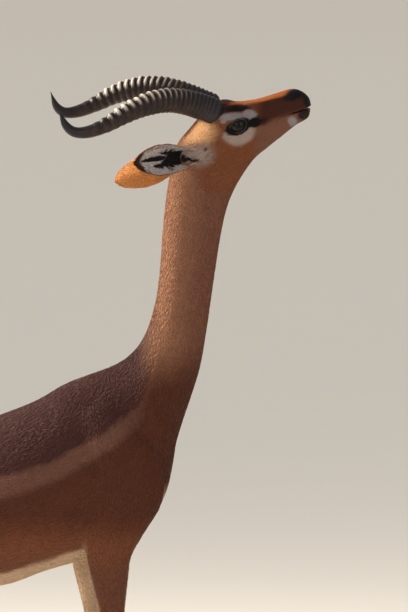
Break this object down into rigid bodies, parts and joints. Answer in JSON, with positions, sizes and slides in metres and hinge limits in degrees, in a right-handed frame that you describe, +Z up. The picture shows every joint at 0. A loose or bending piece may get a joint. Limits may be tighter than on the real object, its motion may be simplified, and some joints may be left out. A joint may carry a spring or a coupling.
{
  "type": "gerenuk",
  "caption": "Life-size model of a standing male gerenuk: slim trunk, very long neck raised to browse, lyre-shaped ringed horns, wide ears, thin legs with cloven hooves and a tufted tail.",
  "frame": {"origin": "on the floor, under the middle of the box round the whole animal", "axes": "+X the way the animal faces, +Y its left side, +Z up"},
  "size_m": [1.1496, 0.2896, 1.6275],
  "materials": {
    "coat_head": "short smooth fur, matt",
    "coat_neck": "short smooth fur, matt",
    "coat_back": "short smooth fur, matt",
    "coat_flank": "short smooth fur, matt",
    "coat_leg": "short smooth fur, matt",
    "ear": "thin skin with short fur",
    "eye": "wet gloss",
    "horn": "ringed keratin, satin",
    "hoof": "keratin, satin",
    "tail_tuft": "long dark hair"
  },
  "bodies": {
    "root": {"head": "coat_head", "neck": "coat_neck", "torso_front": "coat_back", "torso_rear": "coat_flank", "tail": "tail_tuft", "ear_left": "ear", "eye_left": "eye", "horn_left": "horn", "leg_fore_left_upper": "coat_leg", "leg_fore_left_lower": "coat_leg", "hoof_fore_left_inner": "hoof", "hoof_fore_left_outer": "hoof", "leg_hind_left_upper": "coat_leg", "leg_hind_left_lower": "coat_leg", "hoof_hind_left_inner": "hoof", "hoof_hind_left_outer": "hoof", "ear_right": "ear", "eye_right": "eye", "horn_right": "horn", "leg_fore_right_upper": "coat_leg", "leg_fore_right_lower": "coat_leg", "hoof_fore_right_inner": "hoof", "hoof_fore_right_outer": "hoof", "leg_hind_right_upper": "coat_leg", "leg_hind_right_lower": "coat_leg", "hoof_hind_right_inner": "hoof", "hoof_hind_right_outer": "hoof"}
  },
  "joints": []
}
